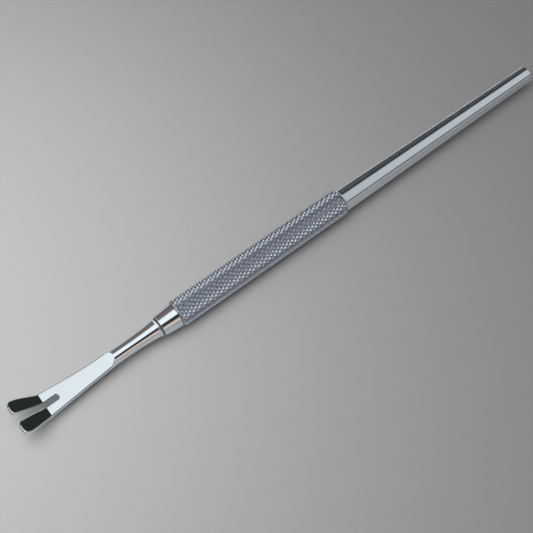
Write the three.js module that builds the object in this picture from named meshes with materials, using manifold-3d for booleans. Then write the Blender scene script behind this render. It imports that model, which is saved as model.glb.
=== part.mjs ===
// Spring bar tool: a forked blade on a round neck that screws into a knurled grip, with a tapered
// eight-sided bar behind it. Millimetres, +Z up. The tool lies along X on its grip, with the fork's
// tips at -X and the butt at +X. Every piece is drawn about the tool's axis and lifted with it.

import * as THREE from 'three';
import { mergeVertices } from 'three/addons/utils/BufferGeometryUtils.js';
import Module from 'manifold-3d';

const wasm = await Module();
wasm.setup();

// ---- Driving dimensions ----------------------------------------------------------------------

const TOOL_LENGTH = 138;
const TIP_X = -TOOL_LENGTH / 2;
const BUTT_X = TOOL_LENGTH / 2;
const GRIP_RADIUS = 3;

// Fork: a plate of even thickness that drops a little from a round neck and turns up to its tips.
const PLATE_THICKNESS = 0.9;
const BLADE_DROP = 0.47;
const BLADE_LEVEL_X = -56;
const BEND_X = -62.75;
const BEND_RADIUS = 2;
const BEND_ANGLE = THREE.MathUtils.degToRad(31);
const TIP_ANGLE = THREE.MathUtils.degToRad(24);
const TIP_BEVEL_LENGTH = 0.12;
const TIP_BEVEL_DEPTH = 0.12;
const TINE_ROOT_X = -62.5;
const TINE_ROOT_HALF_WIDTH = 2.68;
const TINE_TIP_HALF_SPAN = 3.85;
const TINE_TIP_HALF_GAP = 0.88;
const TINE_OUTER_ROUND = 1.2;
const TINE_INNER_ROUND = 1;
const SLOT_WIDTH = 1.05;
const SLOT_FLARE_X = -63.2;
const SLOT_END_X = -59.75;
const BLADE_ROOT_X = -48.6;
const BLADE_ROOT_HALF_WIDTH = 1.68;
const BLADE_MERGE_X = -46.6;
const BLADE_MERGE_HALF_WIDTH = 1.1;
const RUNOUT_RADIUS = 2;
const RUNOUT_SWEEP = THREE.MathUtils.degToRad(75);

// Neck and its flared base.
const NECK_START_X = -48.7;
const NECK_RADIUS = 1.55;
const FLARE_START_X = -44.5;
const FLARE_RADIUS = 2;
const FLARE_POWER = 2.3;
const LIP_X = -36.85;
const LIP_RADIUS = 2.2;
const NECK_END_X = -36.45;

// Collar and the ring in front of it.
const RUNNING_GAP = 0.05;
const WASHER_RADIUS = 2.02;
const WASHER_BORE_RADIUS = 1.3;
const COLLAR_FRONT_X = -36.1;
const COLLAR_REAR_X = -32;
const COLLAR_FRONT_RADIUS = 2.36;
const COLLAR_REAR_RADIUS = 2.73;
const COLLAR_EDGE = 0.12;
const COLLAR_SPIGOT_LENGTH = 6;
const COLLAR_BORE_RADIUS = 1.3;

// Thread that holds the fork: its core stands for the full thread.
const STUD_RADIUS = 1.2;
const STUD_REAR_X = -31.6;
const STUD_ROOT_RADIUS = 1;
const STUD_ROOT_X = -38.6;

// Sleeve, core rod and bar.
const SLEEVE_FRONT_X = -31.9;
const SLEEVE_REAR_X = 11.5;
const SLEEVE_CHAMFER_LENGTH = 0.75;
const SLEEVE_CHAMFER_DEPTH = 0.35;
const CORE_RADIUS = 2;
const CORE_END_RADIUS = 1.22;
const CORE_FRONT_X = -31.1;
const CORE_REAR_END_RADIUS = 1.6;
const CORE_REAR_X = 20;
const BAR_FRONT_FLATS = 5.1;
const BAR_REAR_FLATS = 4.06;
const CROWN_LENGTH = 0.65;
const CROWN_DEPTH = 0.55;
const BAR_SIDES = 8;

// Facet counts.
const ROUND_SIDES = 24;
const NECK_SIDES = 32;
const OUTER_EDGE_STEPS = 10;
const DROP_STEPS = 8;
const FLARE_STEPS = 8;
const CORNER_STEPS = 5;
const BEND_STEPS = 6;
const TINE_STEPS = 6;
const RUNOUT_STEPS = 10;

// ---- Solids ----------------------------------------------------------------------------------

// Turns a closed geometry into a manifold-3d solid.
function solidFrom(geometry) {
  const bare = geometry.clone();
  bare.deleteAttribute('normal');
  bare.deleteAttribute('uv');
  const merged = mergeVertices(bare, 1e-4);
  const source = merged.index.array;
  const faces = [];
  for (let i = 0; i < source.length; i += 3) {
    const [a, b, c] = [source[i], source[i + 1], source[i + 2]];
    const isDegenerate = a === b || b === c || c === a;
    if (!isDegenerate) faces.push(a, b, c);
  }
  return new wasm.Manifold(new wasm.Mesh({
    numProp: 3,
    vertProperties: new Float32Array(merged.attributes.position.array),
    triVerts: new Uint32Array(faces),
  }));
}

function geometryFrom(solid) {
  const { vertProperties, triVerts } = solid.getMesh();
  const geometry = new THREE.BufferGeometry();
  geometry.setAttribute('position', new THREE.BufferAttribute(vertProperties, 3));
  geometry.setIndex(new THREE.BufferAttribute(triVerts, 1));
  geometry.computeVertexNormals();
  return geometry;
}

// A solid turned about X. The profile is a list of [x, radius] that runs up X along its outside.
// A facet faces straight down when phase is half a step, and an edge does when phase is 0.
function turned(profile, sides, phase = 0) {
  const points = profile.map(([x, radius]) => new THREE.Vector2(radius, x));
  const geometry = new THREE.LatheGeometry(points, sides, phase, 2 * Math.PI);
  geometry.rotateZ(-Math.PI / 2);
  return solidFrom(geometry);
}

// A tube turned about X between two ends: the outside profile, then the bore back to its start.
function turnedTube(outside, boreRadius, sides, phase = 0) {
  const first = outside[0];
  const last = outside[outside.length - 1];
  const bore = [[last[0], boreRadius], [first[0], boreRadius], first];
  return turned([...outside, ...bore], sides, phase);
}

// A round bar between two stations on X, for cutting bores.
function cylinderAlongX(fromX, toX, radius) {
  return turned([[fromX, 0], [fromX, radius], [toX, radius], [toX, 0]], ROUND_SIDES);
}

function extruded(points, depth) {
  const settings = { depth, bevelEnabled: false, steps: 1 };
  const geometry = new THREE.ExtrudeGeometry(new THREE.Shape(points), settings);
  return geometry.translate(0, 0, -depth / 2);
}

// ---- Fork ------------------------------------------------------------------------------------

const HALF_PLATE = PLATE_THICKNESS / 2;
const PROFILE_WIDTH = 12;
const PLAN_HEIGHT = 12;

// The plate's outline seen from above, on the side of +Y, from the neck round to the slot's end.
function halfPlan() {
  const blade = new THREE.CubicBezierCurve(
    new THREE.Vector2(BLADE_ROOT_X, BLADE_ROOT_HALF_WIDTH),
    new THREE.Vector2(-53, 1.78),
    new THREE.Vector2(-58, 2.28),
    new THREE.Vector2(TINE_ROOT_X, TINE_ROOT_HALF_WIDTH),
  );
  const tine = new THREE.CubicBezierCurve(
    blade.v3,
    new THREE.Vector2(-64.3, 2.84),
    new THREE.Vector2(-66.3, 3.82),
    new THREE.Vector2(TIP_X + TINE_OUTER_ROUND, TINE_TIP_HALF_SPAN),
  );
  const merge = new THREE.QuadraticBezierCurve(
    new THREE.Vector2(BLADE_MERGE_X, BLADE_MERGE_HALF_WIDTH),
    new THREE.Vector2(BLADE_MERGE_X - 0.9, BLADE_ROOT_HALF_WIDTH),
    blade.v0,
  );
  const outerCorner = new THREE.QuadraticBezierCurve(
    tine.v3,
    new THREE.Vector2(TIP_X, TINE_TIP_HALF_SPAN),
    new THREE.Vector2(TIP_X, TINE_TIP_HALF_SPAN - TINE_OUTER_ROUND),
  );
  const innerCorner = new THREE.QuadraticBezierCurve(
    new THREE.Vector2(TIP_X, TINE_TIP_HALF_GAP + TINE_INNER_ROUND),
    new THREE.Vector2(TIP_X, TINE_TIP_HALF_GAP),
    new THREE.Vector2(TIP_X + TINE_INNER_ROUND, TINE_TIP_HALF_GAP),
  );
  const inner = new THREE.CubicBezierCurve(
    innerCorner.v2,
    new THREE.Vector2(-66.6, TINE_TIP_HALF_GAP - 0.18),
    new THREE.Vector2(SLOT_FLARE_X - 1.6, SLOT_WIDTH / 2),
    new THREE.Vector2(SLOT_FLARE_X, SLOT_WIDTH / 2),
  );
  const slotCentre = SLOT_END_X - SLOT_WIDTH / 2;
  const slotEnd = new THREE.EllipseCurve(
    slotCentre, 0, SLOT_WIDTH / 2, SLOT_WIDTH / 2, Math.PI / 2, 0, true,
  );
  return [
    ...merge.getPoints(CORNER_STEPS),
    ...blade.getPoints(OUTER_EDGE_STEPS).slice(1),
    ...tine.getPoints(OUTER_EDGE_STEPS).slice(1),
    ...outerCorner.getPoints(CORNER_STEPS).slice(1),
    ...innerCorner.getPoints(CORNER_STEPS),
    ...inner.getPoints(FLARE_STEPS).slice(1),
    ...slotEnd.getPoints(CORNER_STEPS),
  ];
}

function planOutline() {
  const half = halfPlan();
  const mirrored = half.slice(0, -1).reverse().map((p) => new THREE.Vector2(p.x, -p.y));
  return [...half, ...mirrored];
}

// How far the plate's middle lies from the tool's axis, from the neck to where it is level again.
function dropAt(x) {
  const t = (BLADE_ROOT_X - x) / (BLADE_ROOT_X - BLADE_LEVEL_X);
  const start = THREE.MathUtils.smoothstep(t, 0, 0.15);
  return -BLADE_DROP * start * (1 - (1 - t) ** 2);
}

// The middle of the plate seen from the side, from the neck to the tips: a slight drop, one bend
// up, then an easy curve back towards level. Each station has its x, its z and its slope.
function plateStations() {
  const run = BEND_X - TIP_X - HALF_PLATE * Math.sin(TIP_ANGLE) - BEND_RADIUS * Math.sin(BEND_ANGLE);
  const easyRadius = run / (Math.sin(BEND_ANGLE) - Math.sin(TIP_ANGLE));
  const stations = [{ x: BLADE_MERGE_X, z: 0, slope: 0 }];
  for (let i = 0; i <= DROP_STEPS; i += 1) {
    const x = THREE.MathUtils.lerp(BLADE_ROOT_X, BLADE_LEVEL_X, (i / DROP_STEPS) ** 1.4);
    stations.push({ x, z: dropAt(x), slope: 0 });
  }
  for (let i = 0; i <= BEND_STEPS; i += 1) {
    const slope = (BEND_ANGLE * i) / BEND_STEPS;
    const x = BEND_X - BEND_RADIUS * Math.sin(slope);
    const z = BEND_RADIUS * (1 - Math.cos(slope)) - BLADE_DROP;
    stations.push({ x, z, slope });
  }
  const bend = stations[stations.length - 1];
  for (let i = 1; i <= TINE_STEPS; i += 1) {
    const slope = THREE.MathUtils.lerp(BEND_ANGLE, TIP_ANGLE, i / TINE_STEPS);
    const x = bend.x - easyRadius * (Math.sin(BEND_ANGLE) - Math.sin(slope));
    const z = bend.z + easyRadius * (Math.cos(slope) - Math.cos(BEND_ANGLE));
    stations.push({ x, z, slope });
  }
  return stations;
}

function offsetStation({ x, z, slope }, distance) {
  return new THREE.Vector2(x + distance * Math.sin(slope), z + distance * Math.cos(slope));
}

// The plate's side view, with the top of each tip bevelled so that it slips under a spring bar.
function plateProfile() {
  const stations = plateStations();
  const top = stations.map((station) => offsetStation(station, HALF_PLATE));
  const bottom = stations.map((station) => offsetStation(station, -HALF_PLATE));
  const tip = top.pop();
  const along = new THREE.Vector2(Math.cos(TIP_ANGLE), -Math.sin(TIP_ANGLE));
  const down = new THREE.Vector2(-Math.sin(TIP_ANGLE), -Math.cos(TIP_ANGLE));
  top.push(tip.clone().addScaledVector(along, TIP_BEVEL_LENGTH));
  top.push(tip.clone().addScaledVector(down, TIP_BEVEL_DEPTH));
  return [...top, ...bottom.reverse()];
}

// The side view of what is left of the neck where it is ground flat, above and below.
function neckProfile() {
  const clear = PLAN_HEIGHT / 2;
  const top = [new THREE.Vector2(NECK_START_X - 1, HALF_PLATE)];
  for (let i = 0; i <= RUNOUT_STEPS; i += 1) {
    const angle = (RUNOUT_SWEEP * i) / RUNOUT_STEPS;
    const x = BLADE_ROOT_X + RUNOUT_RADIUS * Math.sin(angle);
    const z = HALF_PLATE + RUNOUT_RADIUS * (1 - Math.cos(angle));
    top.push(new THREE.Vector2(x, z));
  }
  top.push(new THREE.Vector2(top[top.length - 1].x, clear));
  top.push(new THREE.Vector2(NECK_END_X + 1, clear));
  const bottom = top.map((p) => new THREE.Vector2(p.x, -p.y)).reverse();
  return [...top, ...bottom];
}

// Side views are drawn in X and Z and drawn out along Y.
function sideways(points) {
  return solidFrom(extruded(points, PROFILE_WIDTH).rotateX(Math.PI / 2));
}

function neckRadiusAt(x) {
  const t = Math.max(0, (x - FLARE_START_X) / (LIP_X - FLARE_START_X));
  return NECK_RADIUS + (FLARE_RADIUS - NECK_RADIUS) * t ** FLARE_POWER;
}

function neck() {
  const outside = [[NECK_START_X, 0], [NECK_START_X, NECK_RADIUS]];
  for (let i = 0; i <= FLARE_STEPS; i += 1) {
    const x = THREE.MathUtils.lerp(FLARE_START_X, LIP_X, i / FLARE_STEPS);
    outside.push([x, neckRadiusAt(x)]);
  }
  outside.push([LIP_X + 0.25, LIP_RADIUS], [NECK_END_X, LIP_RADIUS], [NECK_END_X, 0]);
  return turned(outside, NECK_SIDES);
}

function forkBlade() {
  const plan = solidFrom(extruded(planOutline(), PLAN_HEIGHT));
  const plate = plan.intersect(sideways(plateProfile()));
  const groundNeck = neck().intersect(sideways(neckProfile()));
  const boreRadius = STUD_ROOT_RADIUS + RUNNING_GAP;
  const bore = cylinderAlongX(STUD_ROOT_X - RUNNING_GAP, NECK_END_X + 1, boreRadius);
  return plate.add(groundNeck).subtract(bore);
}

function threadedStud() {
  const shoulderX = NECK_END_X + RUNNING_GAP;
  return turned([
    [STUD_ROOT_X, 0],
    [STUD_ROOT_X, STUD_ROOT_RADIUS],
    [shoulderX, STUD_ROOT_RADIUS],
    [shoulderX, STUD_RADIUS],
    [STUD_REAR_X - 0.4, STUD_RADIUS],
    [STUD_REAR_X, STUD_RADIUS - 0.35],
    [STUD_REAR_X, 0],
  ], ROUND_SIDES);
}

function seatWasher() {
  const frontX = NECK_END_X + RUNNING_GAP;
  const rearX = COLLAR_FRONT_X - RUNNING_GAP;
  return turnedTube([[frontX, WASHER_RADIUS], [rearX, WASHER_RADIUS]], WASHER_BORE_RADIUS, ROUND_SIDES);
}

// ---- Handle ----------------------------------------------------------------------------------

// Half a step of turn brings a facet of the grip and of its collar to the bench.
const FACET_DOWN = Math.PI / ROUND_SIDES;
const CORNER_FACTOR = 1 / Math.cos(Math.PI / ROUND_SIDES);

function noseCollar() {
  const spigotRadius = CORE_RADIUS;
  const spigotRearX = COLLAR_REAR_X + COLLAR_SPIGOT_LENGTH;
  return turnedTube([
    [COLLAR_FRONT_X, COLLAR_FRONT_RADIUS - COLLAR_EDGE],
    [COLLAR_FRONT_X + COLLAR_EDGE, COLLAR_FRONT_RADIUS],
    [COLLAR_REAR_X, COLLAR_REAR_RADIUS],
    [COLLAR_REAR_X, spigotRadius],
    [spigotRearX, spigotRadius],
  ], COLLAR_BORE_RADIUS, ROUND_SIDES);
}

function knurledSleeve() {
  const cornerRadius = GRIP_RADIUS * CORNER_FACTOR;
  const endRadius = cornerRadius - SLEEVE_CHAMFER_DEPTH;
  return turnedTube([
    [SLEEVE_FRONT_X, endRadius],
    [SLEEVE_FRONT_X + SLEEVE_CHAMFER_LENGTH, cornerRadius],
    [SLEEVE_REAR_X - SLEEVE_CHAMFER_LENGTH, cornerRadius],
    [SLEEVE_REAR_X, endRadius],
  ], CORE_RADIUS + RUNNING_GAP, ROUND_SIDES, FACET_DOWN);
}

function coreRod() {
  const frontShoulderX = COLLAR_REAR_X + COLLAR_SPIGOT_LENGTH + RUNNING_GAP;
  return turned([
    [CORE_FRONT_X, 0],
    [CORE_FRONT_X, CORE_END_RADIUS],
    [frontShoulderX, CORE_END_RADIUS],
    [frontShoulderX, CORE_RADIUS],
    [SLEEVE_REAR_X, CORE_RADIUS],
    [SLEEVE_REAR_X, CORE_REAR_END_RADIUS],
    [CORE_REAR_X, CORE_REAR_END_RADIUS],
    [CORE_REAR_X, 0],
  ], ROUND_SIDES);
}

// Radius to the bar's corners from its size across the flats.
function barCornerRadius(acrossFlats) {
  return acrossFlats / 2 / Math.cos(Math.PI / BAR_SIDES);
}

function octagonalBar() {
  const frontX = SLEEVE_REAR_X + RUNNING_GAP;
  const rearRadius = barCornerRadius(BAR_REAR_FLATS);
  const bar = turned([
    [frontX, 0],
    [frontX, barCornerRadius(BAR_FRONT_FLATS)],
    [BUTT_X - CROWN_LENGTH, rearRadius],
    [BUTT_X - CROWN_LENGTH * 0.35, rearRadius - CROWN_DEPTH * 0.4],
    [BUTT_X, rearRadius - CROWN_DEPTH],
    [BUTT_X, 0],
  ], BAR_SIDES);
  const bore = cylinderAlongX(frontX - 1, CORE_REAR_X + RUNNING_GAP, CORE_REAR_END_RADIUS + RUNNING_GAP);
  return bar.subtract(bore);
}

// ---- Assembly --------------------------------------------------------------------------------

const FINISHES = {
  polished: { color: 0xdde2e6, roughness: 0.12, metalness: 1 },
  satin: { color: 0xb4b9be, roughness: 0.32, metalness: 1 },
  knurled: { color: 0x8a8f97, roughness: 0.42, metalness: 1 },
  dark: { color: 0x4a4642, roughness: 0.5, metalness: 1 },
  plain: { color: 0x9a9c9e, roughness: 0.4, metalness: 1 },
};

const PIECES = [
  ['fork_blade', forkBlade, 'polished'],
  ['threaded_stud', threadedStud, 'plain'],
  ['seat_washer', seatWasher, 'dark'],
  ['nose_collar', noseCollar, 'polished'],
  ['knurled_sleeve', knurledSleeve, 'knurled'],
  ['core_rod', coreRod, 'plain'],
  ['octagonal_bar', octagonalBar, 'satin'],
];

const springBarTool = new THREE.Group();
springBarTool.position.z = GRIP_RADIUS;
for (const [name, makeSolid, finish] of PIECES) {
  const material = new THREE.MeshStandardMaterial(FINISHES[finish]);
  const mesh = new THREE.Mesh(geometryFrom(makeSolid()), material);
  mesh.name = name;
  springBarTool.add(mesh);
}

export default springBarTool;
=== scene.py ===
"""Spring bar tool: the finished meshes and materials on the CAD frame, on a plain pale floor.

The tool lies along X. Shapes are drawn in millimetres about the tool's own axis, and placed on the
frame in metres.
"""

import math

import bmesh
import bpy
from mathutils import Matrix, Vector


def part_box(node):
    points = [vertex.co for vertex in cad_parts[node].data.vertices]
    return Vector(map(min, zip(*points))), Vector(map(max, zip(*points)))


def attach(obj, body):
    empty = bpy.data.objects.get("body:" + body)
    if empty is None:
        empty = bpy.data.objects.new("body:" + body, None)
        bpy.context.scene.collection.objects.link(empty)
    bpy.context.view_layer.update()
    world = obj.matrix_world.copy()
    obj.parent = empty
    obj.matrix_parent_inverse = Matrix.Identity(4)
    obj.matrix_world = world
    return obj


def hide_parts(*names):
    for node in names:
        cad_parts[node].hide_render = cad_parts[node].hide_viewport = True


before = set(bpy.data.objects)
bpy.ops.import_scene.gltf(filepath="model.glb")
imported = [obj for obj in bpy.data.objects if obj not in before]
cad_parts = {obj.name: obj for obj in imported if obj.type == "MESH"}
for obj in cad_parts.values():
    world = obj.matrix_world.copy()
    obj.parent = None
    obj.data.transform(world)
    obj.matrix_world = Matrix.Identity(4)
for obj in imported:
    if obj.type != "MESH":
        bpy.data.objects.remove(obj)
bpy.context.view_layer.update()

MM = 0.001


def span(node, axis):
    """(lowest, highest) of a CAD node along one axis, in millimetres."""
    low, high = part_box(node)
    return low[axis] / MM, high[axis] / MM


# ---- Driving dimensions, in millimetres unless a comment says otherwise ----------------------

# How far the tines, and the skin of the grip and bar, stay inside their CAD nodes' boxes.
TINE_INSET = 0.04
SKIN_INSET = 0.01

TIP_X, NECK_END_X = span("fork_blade", 0)
TINE_HALF_SPAN = span("fork_blade", 1)[1] - TINE_INSET
RING_FRONT_X, RING_REAR_X = span("seat_washer", 0)
RING_RADIUS = span("seat_washer", 1)[1]
COLLAR_FRONT_X, SPIGOT_REAR_X = span("nose_collar", 0)
COLLAR_REAR_RADIUS = span("nose_collar", 1)[1]
STUD_FRONT_X, STUD_REAR_X = span("threaded_stud", 0)
STUD_RADIUS = span("threaded_stud", 1)[1]
GRIP_FRONT_X, GRIP_REAR_X = span("knurled_sleeve", 0)
GRIP_RADIUS = span("knurled_sleeve", 1)[1]
BAR_FRONT_X, BUTT_X = span("octagonal_bar", 0)
BAR_FRONT_CORNER = span("octagonal_bar", 1)[1]
AXIS_Z = sum(span("knurled_sleeve", 2)) / 2

RUNNING_GAP = 0.05
EDGE_ROUND = 0.06

PLATE_THICKNESS = 0.9
BLADE_DROP = 0.47
DROP_EASE = 0.15  # of the length over which the blade drops
BLADE_LEVEL_X = -56
BEND_X = -62.75
BEND_RADIUS = 2
BEND_ANGLE = math.radians(31)
TIP_ANGLE = math.radians(24)
TINE_ROOT_X = -62.5
TINE_ROOT_HALF_WIDTH = 2.68
TINE_HALF_GAP = 0.88
TINE_OUTER_ROUND = 1.2
TINE_INNER_ROUND = 1
# Painted shade at the tines' tips: how far back it stays full, and how far back it has faded out.
PAINTED_TIP_SHADE_LENGTH = 0.25
PAINTED_TIP_SHADE_FADE = 0.6
SLOT_WIDTH = 1.05
SLOT_FLARE_X = -63.2
SLOT_END_X = -59.75
ROOT_X = -48.6
ROOT_HALF_WIDTH = 1.68
RUNOUT_RADIUS = 0.7
RUNOUT_SLOPE = math.radians(38)
RUNOUT_LENGTH = 1.5
RUNOUT_REACH = 2.4
RUNOUT_FADE = 0.4
RUNOUT_GAP = 0.02
EDGE_BREAK = 0.08
EDGE_SLANT = 1.4  # across the flat, for each unit of EDGE_BREAK down the side

NECK_RADIUS = 1.55
FLARE_START_X = -44.5
FLARE_RADIUS = 2
FLARE_POWER = 2.3  # a power of the distance along the flare
LIP_X = -36.85
LIP_RADIUS = 2.2
LIP_SLOPE_LENGTH = 0.25
LIP_ROUND = 0.1
NECK_BORE_RADIUS = 1.05
BORE_CENTRE_RADIUS = 0.001

THREAD_PITCH = 0.45
THREAD_DEPTH = 0.2
THREAD_LAND = 0.15  # of a pitch, at the crest and at the root
THREAD_RUN_IN = 0.3
THREAD_RUN_OUT = 0.4
THREAD_END_DROP = 0.15
STUD_ROOT_RADIUS = 1
RING_BORE_RADIUS = 1.3
COLLAR_FRONT_RADIUS = 2.34
COLLAR_FRONT_ROUND = 0.12
COLLAR_REAR_X = -32
COLLAR_REAR_ROUND = 0.08
COLLAR_BORE_RADIUS = 1.3
COLLAR_BORE_BEVEL = 0.08
SPIGOT_RADIUS = 2
SPIGOT_ROUND = 0.1

KNURL_AROUND = 20  # diamonds round the grip
KNURL_PITCH = 1.38
KNURL_DEPTH = 0.27
KNURL_FLAT = 0.12  # of a diamond's side
# Painted shade in the grooves fades out this far below the crests.
KNURL_UNSHADED_DEPTH = 0.03
GRIP_CHAMFER_LENGTH = 0.5
GRIP_CHAMFER_DEPTH = 0.3
GRIP_BORE_RADIUS = 2.05

BAR_SIDES = 8
BAR_REAR_FLATS = 4.06
BAR_CORNER_ROUND = 1.1
BAR_BORE_RADIUS = 1.65
BAR_BORE_END_X = 20.05
BAR_EDGE_LENGTH = 0.12
BAR_EDGE_DEPTH = 0.1
BAR_FIRST_STEP = 0.3
CROWN_LENGTH = 0.62
CROWN_DEPTH = 0.5
CROWN_ROUND = 0.12

HALF_PLATE = PLATE_THICKNESS / 2
BEND_END_X = BEND_X - BEND_RADIUS * math.sin(BEND_ANGLE)
TIP_MIDDLE_X = TIP_X + HALF_PLATE * math.sin(TIP_ANGLE)


# ---- Mesh helpers ----------------------------------------------------------------------------

WELD_DISTANCE = 2e-5
TINY = 1e-6
ROUND_STEPS = 4
ROUND_SIDES = 64


def bezier(points, steps):
    """steps + 1 points along a Bezier curve of any order."""
    curve = []
    for i in range(steps + 1):
        t = i / steps
        level = [Vector(p) for p in points]
        while len(level) > 1:
            level = [a.lerp(b, t) for a, b in zip(level, level[1:])]
        curve.append(level[0])
    return curve


def smoothstep(t):
    """0 to 1 with an easy start and end."""
    t = min(max(t, 0), 1)
    return t * t * (3 - 2 * t)


def spread(start, end, steps):
    """steps + 1 evenly spaced numbers from start to end."""
    return [start + (end - start) * i / steps for i in range(steps + 1)]


def ring_on(bm, points):
    """New vertices at the points."""
    return [bm.verts.new(p) for p in points]


def cut_across(bm, x, facing=1, clear=False):
    """Cuts all the faces at x. With clear, what lies on the side the cut faces is removed."""
    bmesh.ops.bisect_plane(
        bm,
        geom=bm.verts[:] + bm.edges[:] + bm.faces[:],
        dist=TINY,
        plane_co=(x, 0, 0),
        plane_no=(facing, 0, 0),
        clear_outer=clear,
    )


def skin(bm, rings, closed=True):
    """Quads between neighbouring rings of vertices."""
    for ring_a, ring_b in zip(rings, rings[1:]):
        count = len(ring_a)
        for i in range(count if closed else count - 1):
            j = (i + 1) % count
            bm.faces.new((ring_a[i], ring_a[j], ring_b[j], ring_b[i]))


def turns_of(sides, first=0.0):
    """Evenly spaced angles round the axis."""
    return [first + 2 * math.pi * i / sides for i in range(sides)]


def round_points(x, radius, turns):
    """Points at the given angles of a circle about the axis."""
    return [(x, radius * math.cos(t), radius * math.sin(t)) for t in turns]


def turned(bm, profile, sides):
    """A profile of (x, radius) turned about X. Ends that lie on the axis close to a point."""
    turns = turns_of(sides)
    skin(bm, [ring_on(bm, round_points(x, radius, turns)) for x, radius in profile])


def rounded(profile, corners):
    """The profile with the corners of the given numbers replaced by round ones: {number: size}."""
    out = []
    for i, point in enumerate(profile):
        if i not in corners:
            out.append(Vector(point))
            continue
        here = Vector(point)
        before = Vector(profile[i - 1])
        after = Vector(profile[(i + 1) % len(profile)])
        start = here + (before - here).normalized() * corners[i]
        end = here + (after - here).normalized() * corners[i]
        out.extend(bezier([start, here, end], ROUND_STEPS))
    return out


def finished(bm, name, material, body, node, sharp):
    """Turns a bmesh about the tool's axis into a piece of the object that replaces its CAD node."""
    bmesh.ops.remove_doubles(bm, verts=bm.verts, dist=WELD_DISTANCE)
    bmesh.ops.dissolve_degenerate(bm, edges=bm.edges, dist=TINY)
    bmesh.ops.recalc_face_normals(bm, faces=bm.faces)
    place = Matrix.Translation((0, 0, AXIS_Z * MM)) @ Matrix.Scale(MM, 4)
    bmesh.ops.transform(bm, matrix=place, verts=bm.verts)
    mesh = bpy.data.meshes.new(name)
    bm.to_mesh(mesh)
    bm.free()
    mesh.shade_smooth()
    mesh.set_sharp_from_angle(angle=math.radians(sharp))
    mesh.materials.append(material)
    piece = bpy.data.objects.new(name, mesh)
    bpy.context.scene.collection.objects.link(piece)
    weighted = piece.modifiers.new("weighted_normals", "WEIGHTED_NORMAL")
    weighted.keep_sharp = True
    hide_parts(node)
    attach(piece, body)


# ---- Fork ------------------------------------------------------------------------------------

SIDE_STEPS = 24
FLAT_POINTS = 7
EDGE_STEPS = 24
INNER_EDGE_STEPS = 16
CORNER_STEPS = 8
RUNOUT_STEPS = 48
NECK_STEPS = 5
FLARE_STEPS = 16
NUDGE = 0.01


def drop_at(x):
    """How far the plate's middle lies from the tool's axis, from the neck to where it is level."""
    t = min(1, (ROOT_X - x) / (ROOT_X - BLADE_LEVEL_X))
    return -BLADE_DROP * smoothstep(t / DROP_EASE) * (1 - (1 - t) ** 2)


def blade_centre(x):
    """Middle of the plate in side view at x, as (x, z, slope): a slight drop, a bend, a curve."""
    bend_end_z = BEND_RADIUS * (1 - math.cos(BEND_ANGLE)) - BLADE_DROP
    if x >= ROOT_X:
        return x, 0, 0
    if x >= BEND_X:
        fall = (drop_at(x + NUDGE) - drop_at(x - NUDGE)) / (2 * NUDGE)
        return x, drop_at(x), -math.atan(fall)
    if x >= BEND_END_X:
        slope = math.asin((BEND_X - x) / BEND_RADIUS)
        return x, BEND_RADIUS * (1 - math.cos(slope)) - BLADE_DROP, slope
    easy_radius = (BEND_END_X - TIP_MIDDLE_X) / (math.sin(BEND_ANGLE) - math.sin(TIP_ANGLE))
    slope = math.asin(math.sin(BEND_ANGLE) - (BEND_END_X - x) / easy_radius)
    return x, bend_end_z + easy_radius * (math.cos(slope) - math.cos(BEND_ANGLE)), slope


def half_plan():
    """The plate's edge on the side of +Y, from its root round the tine to the end of the slot."""
    tip_x = TIP_MIDDLE_X
    outer_end = (tip_x + TINE_OUTER_ROUND, TINE_HALF_SPAN)
    inner_start = (tip_x + TINE_INNER_ROUND, TINE_HALF_GAP)
    tine_root = (TINE_ROOT_X, TINE_ROOT_HALF_WIDTH)
    blade = bezier([(ROOT_X, ROOT_HALF_WIDTH), (-53, 1.78), (-58, 2.28), tine_root], EDGE_STEPS)
    tine = bezier([tine_root, (-64.3, 2.84), (-66.3, 3.78), outer_end], EDGE_STEPS)
    outer_corner = bezier(
        [outer_end, (tip_x, TINE_HALF_SPAN), (tip_x, TINE_HALF_SPAN - TINE_OUTER_ROUND)],
        CORNER_STEPS,
    )
    inner_corner = bezier(
        [(tip_x, TINE_HALF_GAP + TINE_INNER_ROUND), (tip_x, TINE_HALF_GAP), inner_start],
        CORNER_STEPS,
    )
    half_slot = SLOT_WIDTH / 2
    inner = bezier(
        [
            inner_start,
            (-66.6, TINE_HALF_GAP - 0.18),
            (SLOT_FLARE_X - 1.6, half_slot),
            (SLOT_FLARE_X, half_slot),
        ],
        INNER_EDGE_STEPS,
    )
    slot_centre = SLOT_END_X - half_slot
    slot_end = [
        Vector((slot_centre + half_slot * math.sin(a), half_slot * math.cos(a)))
        for a in spread(0, math.pi / 2, CORNER_STEPS)
    ]
    return blade + tine[1:] + outer_corner[1:] + inner_corner + inner[1:] + slot_end


def side_profile(half_width, half_height, edge):
    """The side of a ground round bar as (y, z), from the top flat's rim to the bottom one's."""
    rim = math.sqrt(max(half_width**2 - half_height**2, 0)) - EDGE_SLANT * edge
    turn = math.asin(min((half_height - edge) / half_width, 1))
    side = [
        (half_width * math.cos(a), half_width * math.sin(a))
        for a in spread(turn, -turn, SIDE_STEPS)
    ]
    return [(max(rim, 0), half_height), *side, (max(rim, 0), -half_height)]


def section(x, half_width, half_height, edge=0.0):
    """The outline of a round bar ground flat above and below, as points about the axis."""
    side = side_profile(half_width, half_height, edge)
    rim = side[0][0]
    across = spread(rim, -rim, FLAT_POINTS + 1)[1:-1]
    right = [(x, y, z) for y, z in side]
    left = [(x, -y, z) for y, z in reversed(side)]
    bottom = [(x, y, -half_height) for y in across]
    top = [(x, -y, half_height) for y in across]
    return [*right, *bottom, *left, *top]


def outward(path, i):
    """The outward normal of an open path in plan at its point i."""
    if i in (0, len(path) - 1):
        return Vector((0, math.copysign(1, path[i].y)))
    a = (path[i] - path[i - 1]).normalized()
    b = (path[i + 1] - path[i]).normalized()
    along = (a + b).normalized()
    return Vector((along.y, -along.x))


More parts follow.
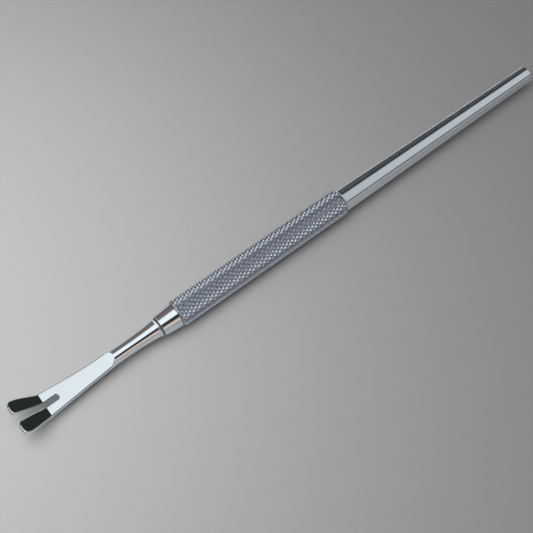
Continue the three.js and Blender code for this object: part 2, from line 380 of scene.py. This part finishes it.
def plate_stations():
    """Where the flat plate is cut across, closest together over the bend."""
    root = spread(ROOT_X - 0.203, ROOT_X - 3.003, 8)
    blade = spread(ROOT_X - 4.003, BEND_X + 0.6, 9)
    bend = spread(BEND_X, BEND_END_X, 12)
    tines = spread(BEND_END_X - 0.41, TIP_X + 0.613, 12)
    return root + blade + bend + tines


def plate(bm):
    """The forked plate, laid flat, cut across at stations and then bent up along its middle."""
    half = half_plan()
    path = [Vector(p) for p in half]
    path += [Vector((p.x, -p.y)) for p in reversed(half[:-1])]
    path = [p for i, p in enumerate(path) if i == 0 or (p - path[i - 1]).length > 1e-4]
    side = side_profile(ROOT_HALF_WIDTH, HALF_PLATE, EDGE_BREAK)
    normals = [outward(path, i) for i in range(len(path))]
    rings = []
    for y, z in side:
        inset = ROOT_HALF_WIDTH - y
        points = [(p.x - n.x * inset, p.y - n.y * inset, z) for p, n in zip(path, normals)]
        rings.append(ring_on(bm, points))
    skin(bm, rings, closed=False)
    rim = side[0][0]
    across = spread(-rim, rim, FLAT_POINTS + 1)[1:-1]
    for ring, z in ((rings[0], HALF_PLATE), (rings[-1], -HALF_PLATE)):
        bm.faces.new(ring + ring_on(bm, [(ROOT_X, y, z) for y in across]))
    for x in plate_stations():
        cut_across(bm, x)
    bend_plate(bm)


def bend_plate(bm):
    """Moves the flat plate's vertices onto its bent middle line."""
    for vert in bm.verts:
        x, z, slope = blade_centre(vert.co.x)
        height = vert.co.z
        vert.co.x = x + height * math.sin(slope)
        vert.co.z = z + height * math.cos(slope)


def neck_radius(x):
    """The neck's radius, straight and then flaring to its lip."""
    t = max(0, (x - FLARE_START_X) / (LIP_X - FLARE_START_X))
    return NECK_RADIUS + (FLARE_RADIUS - NECK_RADIUS) * t**FLARE_POWER


def runout_height(x):
    """Height of the ground flat above the axis behind the blade: a fillet, then a straight ramp."""
    behind = x - ROOT_X
    fillet = RUNOUT_RADIUS * math.sin(RUNOUT_SLOPE)
    if behind <= fillet:
        return HALF_PLATE + RUNOUT_RADIUS - math.sqrt(RUNOUT_RADIUS**2 - behind**2)
    rise = RUNOUT_RADIUS * (1 - math.cos(RUNOUT_SLOPE))
    return HALF_PLATE + rise + (behind - fillet) * math.tan(RUNOUT_SLOPE)


def runout(bm):
    """The rings from the blade's root to where the flats have run out, and the last one's x."""
    rings = []
    for x in spread(ROOT_X, ROOT_X + RUNOUT_REACH, RUNOUT_STEPS):
        narrowed = smoothstep((x - ROOT_X) / RUNOUT_LENGTH)
        width = NECK_RADIUS + (ROOT_HALF_WIDTH - NECK_RADIUS) * (1 - narrowed)
        height = runout_height(x)
        if height >= width:
            break
        end_x = x
        edge = EDGE_BREAK * min(1, (width - height) / RUNOUT_FADE)
        rings.append(ring_on(bm, section(x, width, height, edge)))
    return rings, end_x


def neck(bm):
    """The round neck, from where it is ground flat to its flared base and the bore behind."""
    rings, runout_end_x = runout(bm)
    straight = spread(runout_end_x + RUNOUT_GAP, FLARE_START_X, NECK_STEPS)[:-1]
    outside = [(x, NECK_RADIUS) for x in straight]
    outside += [(x, neck_radius(x)) for x in spread(FLARE_START_X, LIP_X, FLARE_STEPS)]
    lip = [(LIP_X, FLARE_RADIUS), (LIP_X + LIP_SLOPE_LENGTH, LIP_RADIUS), (NECK_END_X, LIP_RADIUS)]
    lip += [(NECK_END_X, NECK_BORE_RADIUS)]
    outside += [tuple(p) for p in rounded(lip, {1: LIP_ROUND, 2: EDGE_ROUND})[1:]]
    bore_end_x = STUD_FRONT_X - RUNNING_GAP
    outside += [(bore_end_x, NECK_BORE_RADIUS), (bore_end_x, BORE_CENTRE_RADIUS)]
    rings += [ring_on(bm, section(x, radius, radius)) for x, radius in outside]
    skin(bm, rings)
    bm.faces.new(rings[-1])


def fork(material):
    """The forked plate and its neck, as one piece."""
    bm = bmesh.new()
    plate(bm)
    neck(bm)
    finished(bm, "fork", material, "fork", "fork_blade", sharp=22)


# ---- Thread, ring and collar -----------------------------------------------------------------

STUD_SIDES = 36
STEPS_PER_PITCH = 10
COLLAR_SIDES = 96


def thread_radius(x, turn, fade):
    """Radius of the right-hand thread at a place on the stud. It fades out as fade goes to 0."""
    phase = (x / THREAD_PITCH - turn / (2 * math.pi)) % 1
    crest = 1 - abs(2 * phase - 1)
    rise = min(max((crest - THREAD_LAND) / (1 - 2 * THREAD_LAND), 0), 1)
    drop = THREAD_DEPTH * (1 - rise * fade) + THREAD_END_DROP * (1 - fade)
    return STUD_RADIUS - drop


def thread_stud(material):
    """The stud that screws into the collar, with its right-hand thread."""
    bm = bmesh.new()
    start = NECK_END_X + RUNNING_GAP
    turns = turns_of(STUD_SIDES)
    count = round((STUD_REAR_X - start) / THREAD_PITCH * STEPS_PER_PITCH)
    rings = [ring_on(bm, [(STUD_FRONT_X, 0, 0)] * STUD_SIDES)]
    rings.append(ring_on(bm, round_points(STUD_FRONT_X, STUD_ROOT_RADIUS, turns)))
    rings.append(ring_on(bm, round_points(start, STUD_ROOT_RADIUS, turns)))
    for x in spread(start, STUD_REAR_X, count):
        fade = min((x - start) / THREAD_RUN_IN, (STUD_REAR_X - x) / THREAD_RUN_OUT, 1)
        radii = [thread_radius(x, t, fade) for t in turns]
        rings.append(
            ring_on(bm, [(x, r * math.cos(t), r * math.sin(t)) for r, t in zip(radii, turns)])
        )
    rings.append(ring_on(bm, [(STUD_REAR_X, 0, 0)] * STUD_SIDES))
    skin(bm, rings)
    finished(bm, "thread_stud", material, "fork", "threaded_stud", sharp=35)


def tube(profile, name, material, body, node, sides=ROUND_SIDES):
    """A closed profile of (x, radius) turned into a tube that replaces a CAD node."""
    bm = bmesh.new()
    turned(bm, [*profile, profile[0]], sides)
    finished(bm, name, material, body, node, sharp=40)


def seat_ring(material):
    """The thin ring between the neck and the collar."""
    profile = rounded(
        [
            (RING_FRONT_X, RING_BORE_RADIUS),
            (RING_FRONT_X, RING_RADIUS),
            (RING_REAR_X, RING_RADIUS),
            (RING_REAR_X, RING_BORE_RADIUS),
        ],
        {1: EDGE_ROUND, 2: EDGE_ROUND},
    )
    tube(profile, "seat_ring", material, "washer", "seat_washer")


def collar(material):
    """The conical collar with the spigot that enters the grip."""
    profile = rounded(
        [
            (COLLAR_FRONT_X, COLLAR_BORE_RADIUS + COLLAR_BORE_BEVEL),
            (COLLAR_FRONT_X, COLLAR_FRONT_RADIUS),
            (COLLAR_REAR_X, COLLAR_REAR_RADIUS),
            (COLLAR_REAR_X, SPIGOT_RADIUS),
            (SPIGOT_REAR_X, SPIGOT_RADIUS),
            (SPIGOT_REAR_X, COLLAR_BORE_RADIUS),
            (COLLAR_FRONT_X + COLLAR_BORE_BEVEL, COLLAR_BORE_RADIUS),
        ],
        {1: COLLAR_FRONT_ROUND, 2: COLLAR_REAR_ROUND, 4: SPIGOT_ROUND},
    )
    tube(profile, "collar", material, "handle", "nose_collar", COLLAR_SIDES)


# ---- Knurled grip ----------------------------------------------------------------------------

CHAMFER_STEPS = 4


def knurl_point(a, b, radius):
    """A point of the diamond lattice. a and b count the two families of grooves."""
    x = (GRIP_FRONT_X + GRIP_REAR_X) / 2 + KNURL_PITCH * (a + b) / 2
    turn = math.pi * (a - b) / KNURL_AROUND
    return (x, radius * math.cos(turn), radius * math.sin(turn))


def knurl_cell(bm, corner, i, j):
    """One diamond: its four groove corners, shared with its neighbours, and its worn flat top."""
    low = [corner(i, j), corner(i + 1, j), corner(i + 1, j + 1), corner(i, j + 1)]
    inset = (1 - KNURL_FLAT) / 2
    spots = [(inset, inset), (1 - inset, inset), (1 - inset, 1 - inset), (inset, 1 - inset)]
    top = [bm.verts.new(knurl_point(i + u, j + v, GRIP_RADIUS - SKIN_INSET)) for u, v in spots]
    for k in range(4):
        m = (k + 1) % 4
        bm.faces.new((low[k], low[m], top[m], top[k]))
    bm.faces.new(top)


def knurled_skin(bm):
    """The lattice wrapped round the grip, a little longer than it at both ends."""
    reach = math.ceil((GRIP_REAR_X - GRIP_FRONT_X) / 2 / KNURL_PITCH) + 1
    corners = {}

    def corner(i, j):
        """The lattice's vertex at a crossing of two grooves, made when first asked for."""
        around = 2 * KNURL_AROUND
        key = (i + j, (i - j) % around)
        if key not in corners:
            corners[key] = bm.verts.new(knurl_point(i, j, GRIP_RADIUS - KNURL_DEPTH))
        return corners[key]

    for along in range(-2 * reach, 2 * reach + 1):
        for step in range(KNURL_AROUND):
            across = 2 * step + along % 2
            i = (along + across) // 2
            knurl_cell(bm, corner, i, along - i)


def trim_grip(bm):
    """Cuts the lattice off at the grip's ends, and across where its chamfers will be."""
    for end_x, inward in ((GRIP_FRONT_X, 1), (GRIP_REAR_X, -1)):
        cut_across(bm, end_x, facing=-inward, clear=True)
        for length in spread(0, GRIP_CHAMFER_LENGTH, CHAMFER_STEPS)[1:]:
            cut_across(bm, end_x + inward * length, facing=-inward)


def chamfer_grip(bm):
    """Brings the diamonds near both ends down to the chamfers."""
    for vert in bm.verts:
        from_end = min(vert.co.x - GRIP_FRONT_X, GRIP_REAR_X - vert.co.x)
        depth = GRIP_CHAMFER_DEPTH * max(0, 1 - from_end / GRIP_CHAMFER_LENGTH)
        radius = math.hypot(vert.co.y, vert.co.z)
        scale = min(1, (GRIP_RADIUS - SKIN_INSET - depth) / radius)
        vert.co.y *= scale
        vert.co.z *= scale


def close_grip(bm):
    """Adds the bore and the two end faces."""
    outer = [e for e in bm.edges if e.is_boundary]
    turns = turns_of(ROUND_SIDES)
    ends = (GRIP_FRONT_X, GRIP_REAR_X)
    skin(bm, [ring_on(bm, round_points(x, GRIP_BORE_RADIUS, turns)) for x in ends])
    inner = [e for e in bm.edges if e.is_boundary and e not in set(outer)]
    for x in ends:
        loops = [e for e in outer + inner if abs(e.verts[0].co.x - x) < 1e-3]
        bmesh.ops.bridge_loops(bm, edges=loops)


def grip(material):
    """The knurled sleeve: diamonds cut back by a chamfer at both ends, and a plain bore."""
    bm = bmesh.new()
    knurled_skin(bm)
    trim_grip(bm)
    chamfer_grip(bm)
    close_grip(bm)
    finished(bm, "grip", material, "handle", "knurled_sleeve", sharp=20)


# ---- Octagonal bar ---------------------------------------------------------------------------

BAR_STEPS = 24
BAR_CORNER_STEPS = 5


def octagon(x, corner_radius, corner_round):
    """An eight-sided section with a corner on top and its corners rounded."""
    half_side = math.pi / BAR_SIDES
    flat = corner_radius * math.cos(half_side)
    centre = (flat - corner_round) / math.cos(half_side)
    points = []
    for side in range(BAR_SIDES):
        middle = 2 * half_side * side
        for turn in spread(middle - half_side, middle + half_side, BAR_CORNER_STEPS):
            y = centre * math.sin(middle) + corner_round * math.sin(turn)
            z = centre * math.cos(middle) + corner_round * math.cos(turn)
            points.append((x, y, z))
    return points


def bar(material):
    """The tapering bar behind the grip, with a faceted crown at its butt."""
    bm = bmesh.new()
    rear_corner = BAR_REAR_FLATS / 2 / math.cos(math.pi / BAR_SIDES)
    crown_x = BUTT_X - CROWN_LENGTH
    front_corner = BAR_FRONT_CORNER - SKIN_INSET
    stations = [(BAR_FRONT_X + BAR_EDGE_LENGTH, front_corner)]
    first_x = BAR_FRONT_X + BAR_FIRST_STEP
    for x in [first_x, *spread(first_x + BAR_FIRST_STEP, crown_x, BAR_STEPS)]:
        t = (x - BAR_FRONT_X) / (crown_x - BAR_FRONT_X)
        stations.append((x, front_corner + (rear_corner - BAR_FRONT_CORNER) * t))
    crown = rounded(
        [stations[-1], (BUTT_X, rear_corner - CROWN_DEPTH), (BUTT_X, 0)],
        {1: CROWN_ROUND},
    )
    edge = (BAR_FRONT_X, BAR_FRONT_CORNER - BAR_EDGE_DEPTH)
    outline = [edge, *stations, *[tuple(p) for p in crown[1:]]]
    rings = [ring_on(bm, octagon(x, r, min(BAR_CORNER_ROUND, r / 2))) for x, r in outline]
    skin(bm, rings)
    front = bore_rings(bm, len(rings[0]))
    skin(bm, [rings[0], *front])
    finished(bm, "bar", material, "handle", "octagonal_bar", sharp=30)


def bore_rings(bm, count):
    """The bore that takes the core rod, as rings with the bar section's number of points."""
    turns = turns_of(count, first=-math.pi / BAR_SIDES)
    rings = []
    for x, radius in (
        (BAR_FRONT_X, BAR_BORE_RADIUS),
        (BAR_BORE_END_X, BAR_BORE_RADIUS),
        (BAR_BORE_END_X, 0),
    ):
        points = [(x, radius * math.sin(t), radius * math.cos(t)) for t in turns]
        rings.append(ring_on(bm, points))
    return rings


# ---- Materials -------------------------------------------------------------------------------


def feed(tree, value, socket):
    """Links a node's output to a socket, or sets the socket's own value."""
    if isinstance(value, bpy.types.NodeSocket):
        tree.links.new(value, socket)
    else:
        socket.default_value = value


def colour_mix(tree, factor, first, second):
    """A mix of two colours, each of them fixed or another node's output."""
    made = tree.nodes.new("ShaderNodeMix")
    made.data_type = "RGBA"
    feed(tree, factor, next(s for s in made.inputs if s.type == "VALUE"))
    colours = [s for s in made.inputs if s.type == "RGBA"]
    feed(tree, first, colours[0])
    feed(tree, second, colours[1])
    return next(s for s in made.outputs if s.type == "RGBA")


class Shader:
    """A material's node tree, built node by node."""

    def __init__(self, name):
        self.material = bpy.data.materials.new(name)
        self.material.use_nodes = True
        self.tree = self.material.node_tree
        self.surface = self.tree.nodes["Principled BSDF"]
        self.coordinates = self.tree.nodes.new("ShaderNodeTexCoord").outputs["Object"]

    def node(self, kind, inputs, **settings):
        """A new node with its settings, and its inputs linked or set."""
        made = self.tree.nodes.new(kind)
        for key, value in settings.items():
            setattr(made, key, value)
        for key, value in inputs.items():
            feed(self.tree, value, made.inputs[key])
        return made

    def scaled(self, along, across):
        """Coordinates about the tool's axis, with so many units per millimetre."""
        centred = self.node(
            "ShaderNodeMapping",
            {
                "Vector": self.coordinates,
                "Location": (0, 0, -AXIS_Z * across),
                "Scale": (along / MM, across / MM, across / MM),
            },
        )
        return centred.outputs["Vector"]

    def noise(self, vector, scale=1.0, detail=3.0):
        """Cloudy noise, mostly between 0.3 and 0.7."""
        made = self.node("ShaderNodeTexNoise", {"Vector": vector, "Scale": scale, "Detail": detail})
        return made.outputs["Fac"]

    def ramp(self, factor, low, high, out_low, out_high):
        """A number that goes from out_low to out_high as the factor goes from low to high."""
        made = self.node(
            "ShaderNodeMapRange",
            {
                "Value": factor,
                "From Min": low,
                "From Max": high,
                "To Min": out_low,
                "To Max": out_high,
            },
        )
        return made.outputs["Result"]

    def tint(self, factor, dark, light):
        """A colour that goes from dark to light as the factor goes from 0 to 1."""
        return colour_mix(self.tree, factor, dark, light)

    def set(self, **sockets):
        """Links or sets inputs of the surface shader, with _ for the spaces in their names."""
        for key, value in sockets.items():
            feed(self.tree, value, self.surface.inputs[key.replace("_", " ")])

    def bump(self, height, strength, distance):
        """Roughens the surface by a height field, to a distance in metres."""
        made = self.node(
            "ShaderNodeBump", {"Height": height, "Strength": strength, "Distance": distance}
        )
        self.set(Normal=made.outputs["Normal"])


def polished_steel():
    """Bright plated steel with faint polishing marks, and painted shade that turns the very tips of
    the tines grey.
    """
    shader = Shader("polished_steel")
    smudge = shader.noise(shader.scaled(0.25, 0.25), detail=4)
    marks = shader.noise(shader.scaled(0.8, 9.0), detail=2)
    plated = shader.tint(smudge, (0.77, 0.85, 0.915, 1), (0.81, 0.895, 0.95, 1))
    along = shader.node("ShaderNodeSeparateXYZ", {"Vector": shader.coordinates}).outputs["X"]
    # Painted shade: the tines' ends are coloured grey, fading to the plated colour a little way
    # back from the tip.
    tip_shade_end_x = (TIP_X + PAINTED_TIP_SHADE_LENGTH) * MM
    tip_shade_fade_x = (TIP_X + PAINTED_TIP_SHADE_FADE) * MM
    tip_shade = shader.ramp(along, tip_shade_end_x, tip_shade_fade_x, 0, 1)
    colour = shader.tint(tip_shade, (0.36, 0.37, 0.40, 1), plated)
    shader.set(Metallic=1.0, Base_Color=colour, Roughness=shader.ramp(smudge, 0.3, 0.7, 0.07, 0.13))
    shader.bump(marks, 0.05, 0.00001)
    return shader.material


def knurled_steel():
    """Matt plated steel, with painted shade that makes it darker down in the grooves."""
    shader = Shader("knurled_steel")
    centred = shader.scaled(0.0, 1.0)
    radius = shader.node("ShaderNodeVectorMath", {0: centred}, operation="LENGTH").outputs["Value"]
    # Painted shade: the colour darkens from the crests down into the grooves.
    groove_radius = GRIP_RADIUS - KNURL_DEPTH
    unshaded_radius = GRIP_RADIUS - KNURL_UNSHADED_DEPTH
    height = shader.ramp(radius, groove_radius, unshaded_radius, 0, 1)
    grain = shader.noise(shader.scaled(6.0, 6.0))
    colour = shader.tint(height, (0.42, 0.46, 0.54, 1), (0.80, 0.88, 1.0, 1))
    shader.set(Metallic=1.0, Base_Color=colour, Roughness=shader.ramp(grain, 0.3, 0.7, 0.22, 0.34))
    return shader.material


def satin_steel():
    """Plated steel with fine lengthwise grinding lines."""
    shader = Shader("satin_steel")
    lines = shader.noise(shader.scaled(0.3, 14.0))
    smudge = shader.noise(shader.scaled(0.15, 0.3))
    colour = shader.tint(smudge, (0.85, 0.91, 0.97, 1), (0.89, 0.95, 1.0, 1))
    shader.set(Metallic=1.0, Base_Color=colour, Roughness=shader.ramp(lines, 0.3, 0.7, 0.15, 0.24))
    shader.bump(lines, 0.05, 0.000005)
    return shader.material


def darkened_steel():
    """Grey steel for the ring between the two shoulders, darkened as painted shade for the narrow
    gap there.
    """
    shader = Shader("darkened_steel")
    grain = shader.noise(shader.scaled(5.0, 5.0))
    # Painted shade: a dark grey that stands for the shade between the neck and the collar.
    colour = shader.tint(grain, (0.24, 0.235, 0.245, 1), (0.34, 0.335, 0.35, 1))
    shader.set(Metallic=1.0, Base_Color=colour, Roughness=shader.ramp(grain, 0.3, 0.7, 0.4, 0.6))
    return shader.material


def turned_steel():
    """Plain steel with the marks of turning round it."""
    shader = Shader("turned_steel")
    lines = shader.noise(shader.scaled(12.0, 0.5), detail=2)
    colour = shader.tint(lines, (0.45, 0.45, 0.46, 1), (0.62, 0.62, 0.62, 1))
    shader.set(Metallic=1.0, Base_Color=colour, Roughness=shader.ramp(lines, 0.3, 0.7, 0.3, 0.45))
    return shader.material


# ---- Stage, in millimetres -------------------------------------------------------------------

CAMERA_AZIMUTH = -37.91
CAMERA_ELEVATION = 63.0
CAMERA_DISTANCE = 182.495
CAMERA_TARGET = (-9.8, -1.404, 0)
CAMERA_LENS = 57.946
CAMERA_SENSOR = 36
CAMERA_NEAR_LIMIT = 5

FLOOR_HALF_SIZE = 8000

LAMP_PLACE = (-108, 46, 160)
LAMP_SIZE = 220
LAMP_SPREAD = math.radians(92)
LAMP_ENERGY = 0.16


def add_camera():
    """The camera, at the photograph's viewing angle."""
    data = bpy.data.cameras.new("camera")
    data.sensor_width = CAMERA_SENSOR
    data.lens = CAMERA_LENS
    data.clip_start = CAMERA_NEAR_LIMIT * MM
    camera = bpy.data.objects.new("camera", data)
    azimuth = math.radians(CAMERA_AZIMUTH)
    elevation = math.radians(CAMERA_ELEVATION)
    back = Vector(
        (
            math.sin(azimuth) * math.cos(elevation),
            -math.cos(azimuth) * math.cos(elevation),
            math.sin(elevation),
        )
    )
    camera.location = (Vector(CAMERA_TARGET) + back * CAMERA_DISTANCE) * MM
    camera.rotation_euler = (-back).to_track_quat("-Z", "Y").to_euler()
    bpy.context.scene.collection.objects.link(camera)
    bpy.context.scene.camera = camera


def add_floor():
    """A plain pale floor."""
    bm = bmesh.new()
    bmesh.ops.create_grid(bm, x_segments=1, y_segments=1, size=FLOOR_HALF_SIZE * MM)
    mesh = bpy.data.meshes.new("floor")
    bm.to_mesh(mesh)
    bm.free()
    floor = bpy.data.objects.new("floor", mesh)
    bpy.context.scene.collection.objects.link(floor)
    shader = Shader("pale_floor")
    grain = shader.noise(shader.coordinates, scale=900.0)
    colour = shader.tint(grain, (0.37, 0.37, 0.37, 1), (0.39, 0.39, 0.39, 1))
    shader.set(Base_Color=colour, Roughness=0.9)
    mesh.materials.append(shader.material)


class Sky:
    """The surroundings as soft panels, each placed by its angle across the tool and along it."""

    def __init__(self, base):
        world = bpy.data.worlds.new("surroundings")
        bpy.context.scene.world = world
        world.use_nodes = True
        self.tree = world.node_tree
        self.background = self.tree.nodes["Background"]
        direction = self.tree.nodes.new("ShaderNodeTexCoord").outputs["Generated"]
        split = self.tree.nodes.new("ShaderNodeSeparateXYZ")
        self.tree.links.new(direction, split.inputs[0])
        self.along = split.outputs["X"]
        minus_y = self.math("MULTIPLY", split.outputs["Y"], -1.0)
        self.across = self.math("DEGREES", self.math("ARCTAN2", minus_y, split.outputs["Z"]))
        self.colour = base

    def math(self, operation, first, second=None):
        """The result of a Math node."""
        made = self.tree.nodes.new("ShaderNodeMath")
        made.operation = operation
        feed(self.tree, first, made.inputs[0])
        if second is not None:
            feed(self.tree, second, made.inputs[1])
        return made.outputs[0]

    def step(self, value, start, end):
        """0 below start and 1 above end, with a smooth rise between."""
        made = self.tree.nodes.new("ShaderNodeMapRange")
        made.interpolation_type = "SMOOTHSTEP"
        made.inputs["From Min"].default_value = start
        made.inputs["From Max"].default_value = end
        self.tree.links.new(value, made.inputs["Value"])
        return made.outputs["Result"]

    def band(self, value, low, high, soft):
        """1 between low and high, and 0 outside them."""
        up = self.step(value, low - soft, low + soft)
        down = self.step(value, high - soft, high + soft)
        return self.math("SUBTRACT", up, down)

    def panel(self, colour, across, across_soft, along=(-2, 2), along_soft=0.1):
        """Lays a panel of one colour over what is there."""
        mask = self.math(
            "MULTIPLY",
            self.band(self.across, *across, across_soft),
            self.band(self.along, *along, along_soft),
        )
        self.colour = colour_mix(self.tree, mask, self.colour, colour)

    def finish(self):
        """Gives the background what the panels have built up."""
        self.tree.links.new(self.colour, self.background.inputs["Color"])


def add_surroundings():
    """What the steel mirrors. Angles across run from +Y's side (-90) over the top to -Y's (90)."""
    sky = Sky((0.21, 0.21, 0.225, 1))
    # The upper side of the neck and collar: dull brown, with a black rim.
    sky.panel((0.19, 0.15, 0.135, 1), (-78, -26), 4, (-0.3, 0.28), 0.06)
    sky.panel((0.02, 0.02, 0.02, 1), (-94, -77), 3, (-0.3, 0.35), 0.1)
    # White overhead: the blade, the run-out behind it, and the line along the neck and collar.
    sky.panel((0.93, 0.93, 0.93, 1), (-28, 22), 4, (-2, 0.22), 0.06)
    sky.panel((0.95, 0.95, 0.95, 1), (-100, 22), 4, (-2, -0.38), 0.08)
    sky.panel((1.05, 1.05, 1.05, 1), (-12, 22), 5, (-0.3, 0.2), 0.1)
    # The bar's light face.
    sky.panel((0.52, 0.545, 0.56, 1), (-5, 42), 6, (0.34, 0.8), 0.08)
    # Near black in the tines, and a dark upper face with a bright edge on the bar.
    sky.panel((0.02, 0.026, 0.022, 1), (-54, -18), 5, (0.18, 0.95), 0.05)
    sky.panel((0.04, 0.04, 0.045, 1), (-80, -50), 4, (0.3, 2), 0.12)
    sky.panel((1.3, 1.3, 1.3, 1), (-130, -80), 3, (0.34, 2), 0.05)
    # Below the white line: a black line and a warm one on the neck and collar.
    sky.panel((0.03, 0.022, 0.02, 1), (26, 50), 4, (-0.35, 0.25), 0.1)
    sky.panel((0.92, 0.64, 0.49, 1), (60, 77), 4, (-0.25, 0.24), 0.04)
    # The dark line along the bar's lower corner, and the lilac lower sides.
    sky.panel((0.14, 0.125, 0.10, 1), (42, 78), 5, (0.34, 2), 0.05)
    sky.panel((0.455, 0.462, 0.525, 1), (80, 200), 4)
    sky.panel((0.6, 0.61, 0.68, 1), (81, 200), 3, (0.34, 2), 0.05)
    sky.finish()


def add_light():
    """One soft lamp above and beyond the fork, facing straight down."""
    data = bpy.data.lights.new("window", "AREA")
    data.shape = "DISK"
    data.size = LAMP_SIZE * MM
    data.spread = LAMP_SPREAD
    data.energy = LAMP_ENERGY
    light = bpy.data.objects.new("window", data)
    light.location = Vector(LAMP_PLACE) * MM
    light.visible_glossy = False
    bpy.context.scene.collection.objects.link(light)


# ---- Assembly --------------------------------------------------------------------------------

bpy.context.scene.view_settings.view_transform = "Standard"

chrome = polished_steel()
plain = turned_steel()
fork(chrome)
thread_stud(plain)
seat_ring(darkened_steel())
collar(chrome)
grip(knurled_steel())
bar(satin_steel())
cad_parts["core_rod"].data.materials.clear()
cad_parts["core_rod"].data.materials.append(plain)

add_camera()
add_floor()
add_surroundings()
add_light()
